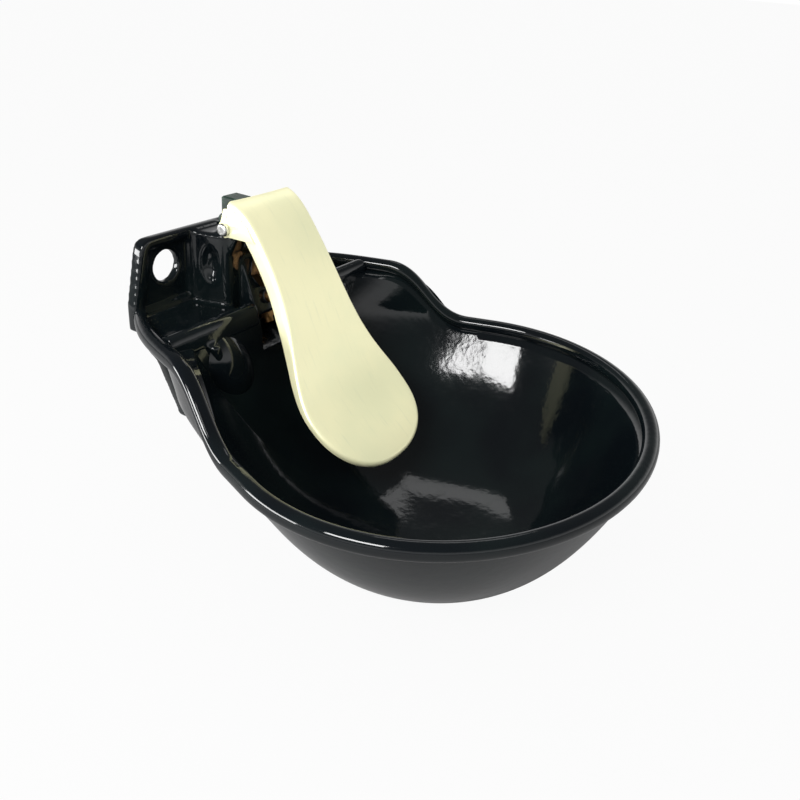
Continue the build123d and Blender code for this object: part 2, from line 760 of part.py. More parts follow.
with BuildPart() as gland_nut:
    with BuildSketch(valve_face.offset(gland_seat)):
        Circle(gland_r - thread_clearance)
    extrude(amount=gland_length)
    with BuildSketch(valve_face.offset(barrel_front)):
        RegularPolygon(gland_r + 1.4, 6, major_radius=False)
    extrude(amount=gland_flange)
    with BuildSketch(valve_face.offset(gland_seat)):
        Circle(stem_r + stem_clearance)
    extrude(amount=far, mode=Mode.SUBTRACT)
gland_nut.part.label = "gland_nut"
export_step(gland_nut.part, "parts/gland_nut.step")

# how far the valve's axis runs before it meets the back of the paddle
paddle_back = Spline(*paddle_line(paddle_sheet, paddle_sheet))
low_end, high_end = 0.0, 1.0
for _ in range(40):
    middle = (low_end + high_end) / 2
    spot = paddle_back.position_at(middle)
    side = (spot.X - valve_face_y) * valve_out[2] - (spot.Y - valve_face_z) * valve_out[1]
    if side > 0:
        low_end = middle
    else:
        high_end = middle
reach_to_paddle = math.hypot(spot.X - valve_face_y, spot.Y - valve_face_z)
cap_front = reach_to_paddle - tip_gap
cap_back = cap_front - cap_length
collar_end = -seat_inner_end - disc_gap - disc_thickness

with BuildPart() as valve_stem:
    with BuildSketch(valve_face.offset(collar_end - collar_thickness)):
        Circle(collar_r)
    extrude(amount=collar_thickness)
    with BuildSketch(valve_face.offset(collar_end)):
        Circle(stem_r)
    extrude(amount=cap_back + stem_in_cap - collar_end)
valve_stem.part.label = "valve_stem"
export_step(valve_stem.part, "parts/valve_stem.step")

with BuildPart() as stem_cap:
    with BuildSketch(valve_face.offset(cap_back)):
        Circle(cap_r)
    extrude(amount=cap_length)
    fillet(edges().sort_by(Axis(valve_face.origin, valve_face.z_dir))[-1], cap_r * 0.8)
    with BuildSketch(valve_face.offset(cap_back)):
        Circle(stem_r)
    extrude(amount=stem_in_cap, mode=Mode.SUBTRACT)
stem_cap.part.label = "stem_cap"
export_step(stem_cap.part, "parts/stem_cap.step")

# return spring round the stem, between the gland nut and the cap
spring_start = barrel_front + gland_flange + spring_wire / 2
spring_length = cap_back - spring_wire / 2 - spring_start
with BuildPart() as return_spring:
    with BuildLine():
        coil = Helix(pitch=spring_length / spring_turns, height=spring_length, radius=spring_r)
    with BuildSketch(Plane(origin=coil @ 0, z_dir=coil % 0)):
        Circle(spring_wire / 2)
    sweep()
spring_part = return_spring.part.moved(valve_face.offset(spring_start).location)
spring_part.label = "return_spring"
export_step(spring_part, "parts/return_spring.step")

# ---- outlet nozzle and flow screw -------------------------------------------
with BuildPart() as outlet_nozzle:
    with BuildSketch(nozzle_plane):
        Circle(nozzle_shank_r)
    extrude(amount=-nozzle_seat_depth + 0.5)
    with BuildSketch(nozzle_plane):
        RegularPolygon(nozzle_r, 6, major_radius=True)
    extrude(amount=nozzle_length / 2)
    with BuildSketch(nozzle_plane.offset(nozzle_length / 2)):
        Circle(nozzle_shank_r)
    extrude(amount=nozzle_length / 2)
    with BuildSketch(nozzle_plane.offset(-nozzle_seat_depth)):
        Circle(passage_r)
    extrude(amount=far, mode=Mode.SUBTRACT)
outlet_nozzle.part.label = "outlet_nozzle"
export_step(outlet_nozzle.part, "parts/outlet_nozzle.step")

with BuildPart() as flow_screw:
    with BuildSketch(screw_plane):
        Circle(screw_r)
    extrude(amount=passage_inset - passage_r + 1.0)
    with BuildSketch(screw_plane):
        Circle(screw_r)
    extrude(amount=-ring_thickness)
    with BuildSketch(screw_plane.offset(-ring_thickness)):
        Circle(screw_head_r)
    extrude(amount=-screw_head_height)
    with BuildSketch(screw_plane.offset(-ring_thickness - screw_head_height)):
        Rectangle(3 * screw_head_r, 1.0)
    extrude(amount=1.2, mode=Mode.SUBTRACT)
flow_screw.part.label = "flow_screw"
export_step(flow_screw.part, "parts/flow_screw.step")

with BuildPart() as screw_ring:
    with BuildSketch(screw_plane):
        Circle(screw_head_r - 0.3)
        Circle(screw_r, mode=Mode.SUBTRACT)
    extrude(amount=-ring_thickness)
screw_ring.part.label = "screw_ring"
export_step(screw_ring.part, "parts/screw_ring.step")

# ---- strainer at the blind end of the lower inlet -----------------------------
with BuildPart() as inlet_strainer:
    with Locations((0, channel_y, inlet_foot_z + socket_depth)):
        Cylinder(strainer_seat_r - thread_clearance, strainer_sheet, align=stand_up)
        Cylinder(strainer_r, strainer_height, align=stand_up)
        Cylinder(
            strainer_r - strainer_sheet, strainer_height - strainer_sheet,
            align=stand_up, mode=Mode.SUBTRACT,
        )
        with PolarLocations(strainer_r / 2, strainer_holes):
            Cylinder(strainer_hole_r, 4 * strainer_height, mode=Mode.SUBTRACT)
inlet_strainer.part.label = "inlet_strainer"
export_step(inlet_strainer.part, "parts/inlet_strainer.step")
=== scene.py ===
import json
import math

import bmesh
import bpy
import numpy as np
from mathutils import Matrix, Vector


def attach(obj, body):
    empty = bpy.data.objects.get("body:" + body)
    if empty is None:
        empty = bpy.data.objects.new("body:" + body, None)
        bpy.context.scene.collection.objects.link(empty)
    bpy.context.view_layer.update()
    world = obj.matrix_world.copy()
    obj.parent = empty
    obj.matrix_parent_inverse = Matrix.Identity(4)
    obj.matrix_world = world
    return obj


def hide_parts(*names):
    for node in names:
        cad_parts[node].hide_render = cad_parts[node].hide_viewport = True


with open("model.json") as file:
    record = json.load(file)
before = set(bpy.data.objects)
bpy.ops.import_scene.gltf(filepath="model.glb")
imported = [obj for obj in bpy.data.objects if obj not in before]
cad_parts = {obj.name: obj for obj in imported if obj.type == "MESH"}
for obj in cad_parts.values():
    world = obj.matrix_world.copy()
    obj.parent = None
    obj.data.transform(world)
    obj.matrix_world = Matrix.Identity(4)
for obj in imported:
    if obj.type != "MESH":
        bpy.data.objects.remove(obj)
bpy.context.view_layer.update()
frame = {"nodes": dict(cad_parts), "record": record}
nodes = frame["nodes"]
MM = 0.001


# ---- shader maths -----------------------------------------------------------
class Wire:
    """A socket that takes part in Python sums."""

    def __init__(self, tree, socket):
        self.tree = tree
        self.socket = socket

    def _sum(self, operation, other=None, swapped=False):
        node = self.tree.nodes.new("ShaderNodeMath")
        node.operation = operation
        pair = (other, self) if swapped else (self, other)
        for place, value in zip(node.inputs, pair):
            if isinstance(value, Wire):
                self.tree.links.new(value.socket, place)
            elif value is not None:
                place.default_value = value
        return Wire(self.tree, node.outputs[0])

    def __add__(self, other):
        return self._sum("ADD", other)

    def __radd__(self, other):
        return self._sum("ADD", other, True)

    def __sub__(self, other):
        return self._sum("SUBTRACT", other)

    def __rsub__(self, other):
        return self._sum("SUBTRACT", other, True)

    def __mul__(self, other):
        return self._sum("MULTIPLY", other)


class Shading:
    """Adds nodes to one node tree."""

    def __init__(self, tree):
        self.tree = tree

    def set(self, node, values):
        for key, value in values.items():
            socket = node.inputs[key] if isinstance(key, int) else node.inputs[key.replace("_", " ")]
            if isinstance(value, Wire):
                self.tree.links.new(value.socket, socket)
            else:
                socket.default_value = value

    def add(self, kind, settings=None, values=None, out=0):
        node = self.tree.nodes.new(kind)
        for key, value in (settings or {}).items():
            setattr(node, key, value)
        self.set(node, values or {})
        return Wire(self.tree, node.outputs[out])

    def fade(self, source, low, high):
        """0 at low, 1 at high, smooth between."""
        return self.add(
            "ShaderNodeMapRange", {"interpolation_type": "SMOOTHSTEP"},
            {"Value": source, "From_Min": low, "From_Max": high},
        )

    def mix(self, share, first, second):
        node = self.tree.nodes.new("ShaderNodeMix")
        node.data_type = "RGBA"
        for place, value in ((0, share), (6, first), (7, second)):
            if isinstance(value, Wire):
                self.tree.links.new(value.socket, node.inputs[place])
            else:
                node.inputs[place].default_value = value
        return Wire(self.tree, node.outputs[2])

    def bump(self, height, strength, distance):
        values = {"Height": height, "Strength": strength, "Distance": distance}
        return self.add("ShaderNodeBump", None, values)


class Finish(Shading):
    """A named surface finish on one Principled shader."""

    def __init__(self, name, **fixed):
        self.material = bpy.data.materials.new(name)
        self.material.use_nodes = True
        super().__init__(self.material.node_tree)
        self.shader = self.tree.nodes["Principled BSDF"]
        self.set(self.shader, fixed)
        self.place = self.add("ShaderNodeTexCoord", out="Object")

    def noise(self, scale, detail=3.0, roughness=0.5, stretch=None):
        place = self.place
        if stretch:
            place = self.add("ShaderNodeMapping", None, {"Vector": place, "Scale": stretch})
        return self.add(
            "ShaderNodeTexNoise", None,
            {"Vector": place, "Scale": scale, "Detail": detail, "Roughness": roughness},
        )

    def wear(self, **linked):
        """Links what varies over the surface and gives the material."""
        self.set(self.shader, linked)
        return self.material


def rgb(r, g, b):
    return (r, g, b, 1.0)


# ---- finishes ---------------------------------------------------------------
def enamel_finish():
    f = Finish("black_enamel", IOR=1.48)
    cloud = f.noise(18.0, 2.0)
    ripple = f.noise(260.0, 2.0, 0.4)
    swell = f.noise(60.0, 2.0, 0.4)
    pit = f.noise(900.0, 1.0)
    dust = f.noise(140.0, 6.0, 0.7)
    colour = f.mix(f.fade(cloud, 0.35, 0.68), rgb(0.0022, 0.0034, 0.0046), rgb(0.0040, 0.0070, 0.0074))
    colour = f.mix(f.fade(dust, 0.70, 0.80) * 0.05, colour, rgb(0.20, 0.21, 0.19))
    roughness = 0.07 + f.fade(dust, 0.50, 0.78) * 0.08 + cloud * 0.03
    height = swell * 0.55 + ripple * 0.30 + pit * 0.03
    return f.wear(Base_Color=colour, Roughness=roughness, Normal=f.bump(height, 0.16, 0.0012))


def paddle_finish():
    f = Finish("pressed_sheet", IOR=1.6)
    drawn = f.noise(90.0, 4.0, 0.6, stretch=(5.0, 0.5, 0.5))
    cloud = f.noise(22.0, 3.0, 0.5)
    scuff = f.noise(420.0, 5.0, 0.7, stretch=(1.0, 0.25, 0.25))
    colour = f.mix(f.fade(cloud, 0.35, 0.70), rgb(0.94, 0.91, 0.58), rgb(0.87, 0.87, 0.56))
    colour = f.mix(f.fade(drawn, 0.55, 0.80) * 0.30, colour, rgb(0.66, 0.69, 0.46))
    roughness = 0.26 + drawn * 0.12 + f.fade(scuff, 0.55, 0.75) * 0.12
    height = drawn * 0.5 + scuff * 0.2
    return f.wear(
        Base_Color=colour, Roughness=roughness, Metallic=0.22 + cloud * 0.15,
        Normal=f.bump(height, 0.10, 0.0004),
    )


def plug_finish():
    f = Finish("plug_iron", IOR=1.5)
    cloud = f.noise(120.0, 4.0, 0.6)
    grit = f.noise(700.0, 4.0, 0.6)
    colour = f.mix(f.fade(cloud, 0.35, 0.7), rgb(0.010, 0.022, 0.016), rgb(0.035, 0.070, 0.050))
    return f.wear(
        Base_Color=colour, Roughness=0.28 + grit * 0.20,
        Normal=f.bump(cloud * 0.5 + grit * 0.5, 0.25, 0.0006),
    )


def brass_finish():
    f = Finish("turned_brass_painted_shade", Metallic=1.0)
    lathe = f.noise(900.0, 3.0, 0.5, stretch=(1.0, 1.0, 6.0))
    cloud = f.noise(160.0, 3.0)
    # Both brass tones are painted shade: darkened far below bright brass to stand for the shadow under
    # the paddle, mixed at random by the cloud.
    colour = f.mix(f.fade(cloud, 0.4, 0.75), rgb(0.30, 0.17, 0.07), rgb(0.15, 0.08, 0.035))
    return f.wear(Base_Color=colour, Roughness=0.22 + lathe * 0.22, Normal=f.bump(lathe, 0.15, 0.0003))


def steel_finish():
    f = Finish("plated_steel", Metallic=1.0)
    grain = f.noise(1200.0, 3.0, 0.6)
    cloud = f.noise(200.0, 2.0)
    colour = f.mix(f.fade(cloud, 0.4, 0.7), rgb(0.82, 0.82, 0.80), rgb(0.66, 0.67, 0.66))
    return f.wear(Base_Color=colour, Roughness=0.20 + grain * 0.22, Normal=f.bump(grain, 0.12, 0.0003))


def rubber_finish():
    f = Finish("black_rubber", IOR=1.45)
    grit = f.noise(1400.0, 4.0, 0.6)
    colour = f.mix(grit, rgb(0.010, 0.010, 0.011), rgb(0.035, 0.035, 0.037))
    return f.wear(Base_Color=colour, Roughness=0.55 + grit * 0.25, Normal=f.bump(grit, 0.3, 0.0004))


def plastic_finish():
    f = Finish("black_acetal", IOR=1.48)
    grit = f.noise(800.0, 3.0, 0.5)
    colour = f.mix(grit, rgb(0.016, 0.017, 0.018), rgb(0.045, 0.047, 0.050))
    return f.wear(Base_Color=colour, Roughness=0.30 + grit * 0.2, Normal=f.bump(grit, 0.15, 0.0003))


FINISHES = {
    "enamel": enamel_finish(),
    "paddle_steel": paddle_finish(),
    "steel": steel_finish(),
    "plug_iron": plug_finish(),
    "brass": brass_finish(),
    "rubber": rubber_finish(),
    "black_plastic": plastic_finish(),
}
slot_of = {part["node"]: part["material_slot"] for part in frame["record"]["subparts"]}


def dress(obj, slot):
    obj.data.materials.clear()
    obj.data.materials.append(FINISHES[slot])


for name, obj in nodes.items():
    dress(obj, slot_of[name])


# ---- mesh helpers -----------------------------------------------------------
def mesh_object(name, points, faces):
    mesh = bpy.data.meshes.new(name)
    mesh.from_pydata([tuple(p) for p in points], [], faces)
    mesh.update()
    obj = bpy.data.objects.new(name, mesh)
    bpy.context.scene.collection.objects.link(obj)
    return obj


def settle(obj):
    """Turns an object's modifiers into its plain mesh."""
    bpy.context.view_layer.update()
    evaluated = obj.evaluated_get(bpy.context.evaluated_depsgraph_get())
    mesh = bpy.data.meshes.new_from_object(evaluated)
    obj.modifiers.clear()
    old = obj.data
    obj.data = mesh
    bpy.data.meshes.remove(old)


def tidy(obj, merge=1e-5, recalc=True):
    """Merges points closer than merge, and turns the faces outward."""
    bm = bmesh.new()
    bm.from_mesh(obj.data)
    bmesh.ops.remove_doubles(bm, verts=bm.verts, dist=merge)
    if recalc:
        bmesh.ops.recalc_face_normals(bm, faces=bm.faces)
    bm.to_mesh(obj.data)
    bm.free()
    obj.data.update()


def smooth_shade(obj, angle=None):
    """Smooth shading, with edges sharper than angle left sharp."""
    for polygon in obj.data.polygons:
        polygon.use_smooth = True
    if angle is not None:
        obj.data.set_sharp_from_angle(angle=math.radians(angle))


# ---- the bowl's outlines, millimetres ---------------------------------------
BOWL_HALF = 130.0
BOWL_REACH = 110.5
BOWL_Y = -160.0
BOWL_DEEP = 84.0
WALL = 6.0
RIM_Z = -49.0
NECK_Z = -18.0
RISE_START = -112.0
RISE_END = -59.0
BEAD = 9.0
OUTER_INSET = 1.5
INNER_INSET = 7.5
LIP_Y = -45.0
LIP_HALF = 86.0
PLATE_HALF = 72.0
PLATE_THICK = 7.0
PLATE_TOP = 18.0
PLATE_TOP_HALF = 64.0
SHELF_Z = -24.5
SHELF_LOW = -31.5
NOTCH_HALF = 20.0
REAR_INSET = 2.0             # the wall runs this far into the plate
ARC_PAST = math.radians(17.8)    # how far the front arc runs past the widest point
WALL_SQUARENESS = 3.5        # the higher, the steeper the wall and the flatter the bottom
BOTTOM_SHIFT = 17.0          # the bottom's middle lies this much nearer the front
WALL_EASE = 0.6              # how soon the rear corners draw in below the neck
BOTTOM_REAR = 0.3            # share of the half width that the rear takes at the bottom
BOTTOM_PUSH = 0.5
WALL_PULL = 0.62
NECK_MARGIN = 4.0            # the rear corners start to draw in this far above the neck
LIP_HEADING = 72.0
LIP_PUSH = 30.0
REAR_HEADING = 50.0
REAR_PUSH = 40.0
RIM_PULL = 0.70
RIM_PUSH = 36.0
RISE_HANDLE = 0.45           # share of the rise that each end of its S curve takes
BEAD_START = 218.0           # degrees; 0 is the bead's outermost point and 90 its top
BEAD_SWEEP = 262.0
BEAD_SQUARENESS = 0.9        # 1 would make the bead round
WALL_DROP = 9.0              # the walls end this far below the rim's top
TO_BOTTOM = 0.9996           # the walls stop this share of the depth down
ROW_EASE = 2.4               # crowds the rings towards the bottom
MATCH_DROP = 8.0             # the inner wall and the rim are matched this far below the neck
ARC_STEPS = 130
SIDE_STEPS = 64
CORNER_STEPS = 14
BACK_STEPS = 18


def bezier(points, t):
    t = t[:, None]
    p = [np.array(q, float) for q in points]
    return (1 - t) ** 3 * p[0] + 3 * (1 - t) ** 2 * t * p[1] + 3 * (1 - t) * t ** 2 * p[2] + t ** 3 * p[3]


def plan_curves(a, b, centre_y, rear_y, rear_half, heading, pull, push):
    """Front arc of a plan, and the control points of its right side."""
    sweep = np.linspace(math.pi - ARC_PAST, 2 * math.pi + ARC_PAST, ARC_STEPS + 1)
    arc = np.stack([a * np.cos(sweep), centre_y + b * np.sin(sweep)], 1)
    along = np.array([-a * math.sin(ARC_PAST), b * math.cos(ARC_PAST)])
    along /= np.linalg.norm(along)
    corner = np.array([rear_half, rear_y])
    reach = (rear_y - arc[-1, 1]) / along[1]
    lean = math.radians(-heading)
    handle = corner + np.array([math.cos(lean), math.sin(lean)]) * push
    return arc, (arc[-1], arc[-1] + along * reach * pull, handle, corner)


def closed_plan(arc, right, back):
    """Front arc, right side, back line, left side."""
    return np.concatenate([arc, right, back, (right * (-1, 1))[::-1][1:]])


def wall_curves(z, inset, depth, rear_top_y, rear_top_half, top_heading, top_push):
    """The wall's plan at height z, which narrows with depth."""
    above = NECK_Z + NECK_MARGIN
    fall = (RIM_Z - z) / depth
    share = (1.0 - min(max(fall, 0.0), 1.0)) ** (1.0 / WALL_SQUARENESS)
    a = (BOWL_HALF - inset) * share
    b = (BOWL_REACH - inset) * share
    centre_y = BOWL_Y - BOTTOM_SHIFT * (1.0 - share)
    down = (max(above - z, 0.0) / (above - RIM_Z + depth)) ** WALL_EASE
    rear_y = rear_top_y + (centre_y + b - rear_top_y) * down
    rear_half = rear_top_half + (BOTTOM_REAR * a - rear_top_half) * down
    push = top_push + (BOTTOM_PUSH * (a - rear_half) - top_push) * down
    return plan_curves(a, b, centre_y, rear_y, rear_half, top_heading * (1.0 - down), WALL_PULL, push)


def rim_curves(inset):
    """The rim's plan, inset from its outer edge."""
    return plan_curves(
        BOWL_HALF - inset, BOWL_REACH - inset, BOWL_Y, -PLATE_THICK + REAR_INSET, PLATE_HALF - inset,
        REAR_HEADING, RIM_PULL, RIM_PUSH,
    )


def inner_curves(z):
    return wall_curves(z, INNER_INSET, BOWL_DEEP - WALL, LIP_Y, LIP_HALF, LIP_HEADING, LIP_PUSH)


def outer_curves(z):
    return wall_curves(
        z, OUTER_INSET, BOWL_DEEP, -PLATE_THICK + REAR_INSET, PLATE_HALF, REAR_HEADING, REAR_PUSH
    )


INNER_TURN = np.linspace(0, 1, SIDE_STEPS + 1)


def inner_plan(z):
    arc, side = inner_curves(z)
    right = bezier(side, INNER_TURN)
    back = np.linspace(right[-1], right[-1] * (-1, 1), 2 * CORNER_STEPS + BACK_STEPS + 1)[1:]
    return closed_plan(arc, right[1:], back)


def matched_turns():
    """Where along the rim's side each point of the inner wall's side lies."""
    dense = np.linspace(0, 1, 800)
    rim_side = bezier(rim_curves(BEAD / 2)[1], dense)
    inner_side = bezier(inner_curves(NECK_Z - MATCH_DROP)[1], INNER_TURN)
    return np.interp(inner_side[:, 1], rim_side[:, 1], dense)


OUTER_TURN = matched_turns()


def outer_plan(curves):
    arc, side = curves
    right = bezier(side, OUTER_TURN)[1:]
    corner = bezier(side, np.linspace(OUTER_TURN[-1], 1, CORNER_STEPS + 1)[1:])
    back = np.linspace(corner[-1], corner[-1] * (-1, 1), BACK_STEPS + 1)[1:]
    mirrored = (corner * (-1, 1))[::-1][1:]
    last = (right[-1] * (-1, 1))[None]
    return closed_plan(arc, right, np.concatenate([corner, back, mirrored, last]))


def rim_height(y):
    """Height of the rim's top, from the low front to the raised neck."""
    span = RISE_END - RISE_START
    foot = (RISE_START + RISE_HANDLE * span, RIM_Z)
    crest = (RISE_END - RISE_HANDLE * span, NECK_Z)
    curve = bezier(((RISE_START, RIM_Z), foot, crest, (RISE_END, NECK_Z)), np.linspace(0, 1, 200))
    return np.interp(y, curve[:, 0], curve[:, 1])


def wall_rows(plan_at, bottom, top, steps):
    """Rings of one wall, from its top down to the bottom."""
    levels = np.linspace(bottom, NECK_Z, 400)
    stack = np.array([plan_at(z) for z in levels])
    index = np.arange(stack.shape[1])
    rows = []
    for k in range(steps + 1):
        ease = 1.0 - (1.0 - k / steps) ** ROW_EASE
        z = top + (bottom - top) * ease
        at = (z - bottom) / (NECK_Z - bottom) * (len(levels) - 1)
        low = np.clip(np.floor(at).astype(int), 0, len(levels) - 2)
        share = (at - low)[:, None]
        flat = stack[low, index] * (1 - share) + stack[low + 1, index] * share
        rows.append(np.column_stack([flat, z]))
    return rows


def shell_rows(steps=56, bead_steps=26):
    """One skin: up the inside, over the rim's bead and down the outside."""
    middle = outer_plan(rim_curves(BEAD / 2))
    top = rim_height(middle[:, 1])
    inner_low = RIM_Z - (BOWL_DEEP - WALL) * TO_BOTTOM
    outer_low = RIM_Z - BOWL_DEEP * TO_BOTTOM

    def outer_at(z):
        return outer_plan(outer_curves(z))

    rows = wall_rows(inner_plan, inner_low, top - WALL_DROP, steps)[::-1]
    half = BEAD / 2
    for k in range(bead_steps + 1):
        turn = math.radians(BEAD_START - BEAD_SWEEP * k / bead_steps)
        c, s = math.cos(turn), math.sin(turn)
        c = math.copysign(abs(c) ** BEAD_SQUARENESS, c)
        s = math.copysign(abs(s) ** BEAD_SQUARENESS, s)
        flat = outer_plan(rim_curves(half - half * c))
        rows.append(np.column_stack([flat, top - half + half * s]))
    return rows + wall_rows(outer_at, outer_low, top - WALL_DROP, steps)


def skin(rows):
    """Quads between rings of equal count, with a fan over the first and the last."""
    count = len(rows[0])
    points = np.concatenate(rows + [rows[0].mean(0)[None], rows[-1].mean(0)[None]])
    faces = []
    for r in range(len(rows) - 1):
        for i in range(count):
            j = (i + 1) % count
            faces.append((r * count + i, r * count + j, (r + 1) * count + j, (r + 1) * count + i))
    last = (len(rows) - 1) * count
    for i in range(count):
        j = (i + 1) % count
        faces.append((j, i, len(points) - 2))
        faces.append((last + i, last + j, len(points) - 1))
    return points, faces


# ---- solid building blocks, millimetres -------------------------------------
def prism(side, outline, low, high):
    """A closed prism: the outline lies across the axis named by side."""
    count = len(outline)
    points = []
    for level in (low, high):
        for p, q in outline:
            points.append({"X": (level, p, q), "Y": (p, level, q), "Z": (p, q, level)}[side])
    faces = [tuple(range(count)), tuple(range(2 * count - 1, count - 1, -1))]
    faces += [(i, (i + 1) % count, count + (i + 1) % count, count + i) for i in range(count)]
    block = mesh_object("block", np.array(points, float) * MM, faces)
    tidy(block)
    return block


def ring_outline(centre, radius, steps=40, stretch=1.0):
    turns = [2 * math.pi * k / steps for k in range(steps)]
    return [(centre[0] + radius * math.cos(t), centre[1] + radius * stretch * math.sin(t)) for t in turns]


def rod(start, along, length, radius):
    """A closed round bar from start."""
    bar = prism("Z", ring_outline((0, 0), radius), 0.0, length)
    turn = Vector(along).to_track_quat("Z", "Y").to_matrix().to_4x4()
    bar.data.transform(Matrix.Translation(Vector(start) * MM) @ turn)
    return bar


def carve(block, tools):
    """Takes each tool away from the block."""
    for tool in tools:
        cut = block.modifiers.new("cut", "BOOLEAN")
        cut.operation = "DIFFERENCE"
        cut.solver = "EXACT"
        cut.object = tool
        settle(block)


def use_up(objects):
    for obj in objects:
        bpy.data.objects.remove(obj)


def join(name, parts):
    """One object from several meshes, which are used up."""
    bm = bmesh.new()
    for part in parts:
        bm.from_mesh(part.data)
    use_up(parts)
    mesh = bpy.data.meshes.new(name)
    bm.to_mesh(mesh)
    bm.free()
    obj = bpy.data.objects.new(name, mesh)
    bpy.context.scene.collection.objects.link(obj)
    return obj


# ---- bowl casting -----------------------------------------------------------
VALVE_TILT = math.radians(20.0)
VALVE_OUT = Vector((0, -math.cos(VALVE_TILT), math.sin(VALVE_TILT)))
DOWN_FACE = Vector((0, -math.sin(VALVE_TILT), -math.cos(VALVE_TILT)))
FACE_MID = Vector((0, -31.5, -8.0))
CHANNEL_Y = -14.0
HINGE = (-28.0, 21.0)
NOTCH_SIDE = ((-27.5, 60.0), (-27.5, -40.0), (-56.0, -46.7), (-56.0, 60.0))
POCKET_HALF = 46.0
POCKET_SIDE = ((12, SHELF_LOW), (-37, SHELF_LOW), (-45, -61.5), (12, -95.0))
PLATE_CORNER = 7.0
WING_DISH = ((31.5, -20.5), (66.0, -20.5), (59.0, 12.5), (31.5, 12.5))
WING_DISH_DEEP = 2.0
WING_HOLE_X = 46.7
WING_HOLE_R = 8.8
PLUG_BORE_R = 11.2
COLUMN_TOP = 16.5
COLUMN_PLAN = ((-30, -5), (-24.5, -24.5), (-21.5, -27.5), (21.5, -27.5), (24.5, -24.5), (30, -5))
DIMPLE_R = 5.4
DIMPLE_TALL = 11.5
DIMPLE_Z = -1.0
DIMPLE_STEPS = 14
VALVE_BORE_R = 7.2
BOSS_R = 14.0
BOSS_LOW = -76.0
BOSS_LENGTH = 92.5
INLET_R = 10.5
BLOCK_HALF = 12.5
BLOCK_DOWN = 24.0
BLOCK_UP = 20.0
BLOCK_HEEL = 13.0
LUG_INNER = 11.5
LUG_OUTER = 21.5
LUG_R = 7.5
LEG_STRIP = ((64, SHELF_LOW + 2), (41, -94), (31, -94), (54, SHELF_LOW + 2))
LEG_FOOT = (36.0, -94.0)
LEG_FOOT_R = 5.0
WEB_HALF = 3.0
WEB_TOP = -29.5
WEB_SIDE = ((0, WEB_TOP), (0, -93.0), (-7, -95.0), (-53, -77.0), (-53, WEB_TOP))
WEB_TOP_X = 59.0
WEB_LEAN = (23.0, 64.5)      # sideways run for this much fall
LEDGE_REAR_Y = -43.0
LEDGE_RIM_INSET = 4.0
LEDGE_LIP = (
    (-37.5, -31.0), (-37.5, -24.0), (-38.6, -20.6), (-41.0, -18.6), (-43.6, -18.1), (-46.2, -19.2),
    (-47.6, -21.8), (-48.4, -26.0), (-49.2, -31.0),
)
LEDGE_LIP_HALF = 85.5
REAR_WALL_SIDE = ((-14, SHELF_LOW), (-14, -48), (LIP_Y, -54), (LIP_Y, SHELF_LOW))
REAR_WALL_HALF = 28.0
RIB_SIDE = ((-14, -45), (-14, -71), (-50, -71), (-45, -51))
RIB_HALF = 3.0
HEAD_VOXEL = 0.95
HEAD_SMOOTHING = 14
PAD_R = 22.5
PAD_HALF_LENGTH = 34.0
PAD_MIDDLE = (45.0, -34.5, -53.0)
PAD_LEAN = 28.0
PAD_FRONT_Y = -47.5
PAD_STEPS = 40
FAR = 200.0                  # past everything, for a cutting block


def notch_tool():
    return prism("X", NOTCH_SIDE, -NOTCH_HALF, NOTCH_HALF)


def make_shell():
    points, faces = skin(shell_rows())
    shell = mesh_object("bowl_shell", points * MM, faces)
    tidy(shell)
    pocket = prism("X", POCKET_SIDE, -POCKET_HALF, POCKET_HALF)
    notch = notch_tool()
    carve(shell, [pocket, notch])
    use_up([pocket, notch])
    tidy(shell)
    smooth_shade(shell, 40)
    return shell


def plate_blocks():
    """The back plate, dished round each wing's hole."""
    outline = [(-PLATE_HALF, SHELF_LOW), (PLATE_HALF, SHELF_LOW), (PLATE_HALF, NECK_Z)]
    right = Vector((PLATE_TOP_HALF - PLATE_HALF, PLATE_TOP - NECK_Z)).normalized()
    start = Vector((PLATE_TOP_HALF, PLATE_TOP)) - right * PLATE_CORNER
    end = Vector((PLATE_TOP_HALF - PLATE_CORNER, PLATE_TOP))
    bend = Vector((PLATE_TOP_HALF, PLATE_TOP))
    for k in range(9):
        t = k / 8
        outline.append(tuple(start * (1 - t) ** 2 + bend * 2 * t * (1 - t) + end * t * t))
    outline += [(-x, z) for x, z in outline[:1:-1]]
    plate = prism("Y", outline, -PLATE_THICK, 0.0)
    tools = []
    for turn in (-1, 1):
        dish = [(turn * x, z) for x, z in WING_DISH]
        tools.append(prism("Y", dish, -PLATE_THICK - 3.0, -PLATE_THICK + WING_DISH_DEEP))
        tools.append(prism("Y", ring_outline((turn * WING_HOLE_X, 0.0), WING_HOLE_R), -20.0, 5.0))
    tools.append(rod((0, CHANNEL_Y, 16.0), (0, 0, 1), 20.0, PLUG_BORE_R))
    carve(plate, tools)
    use_up(tools)
    return [plate]


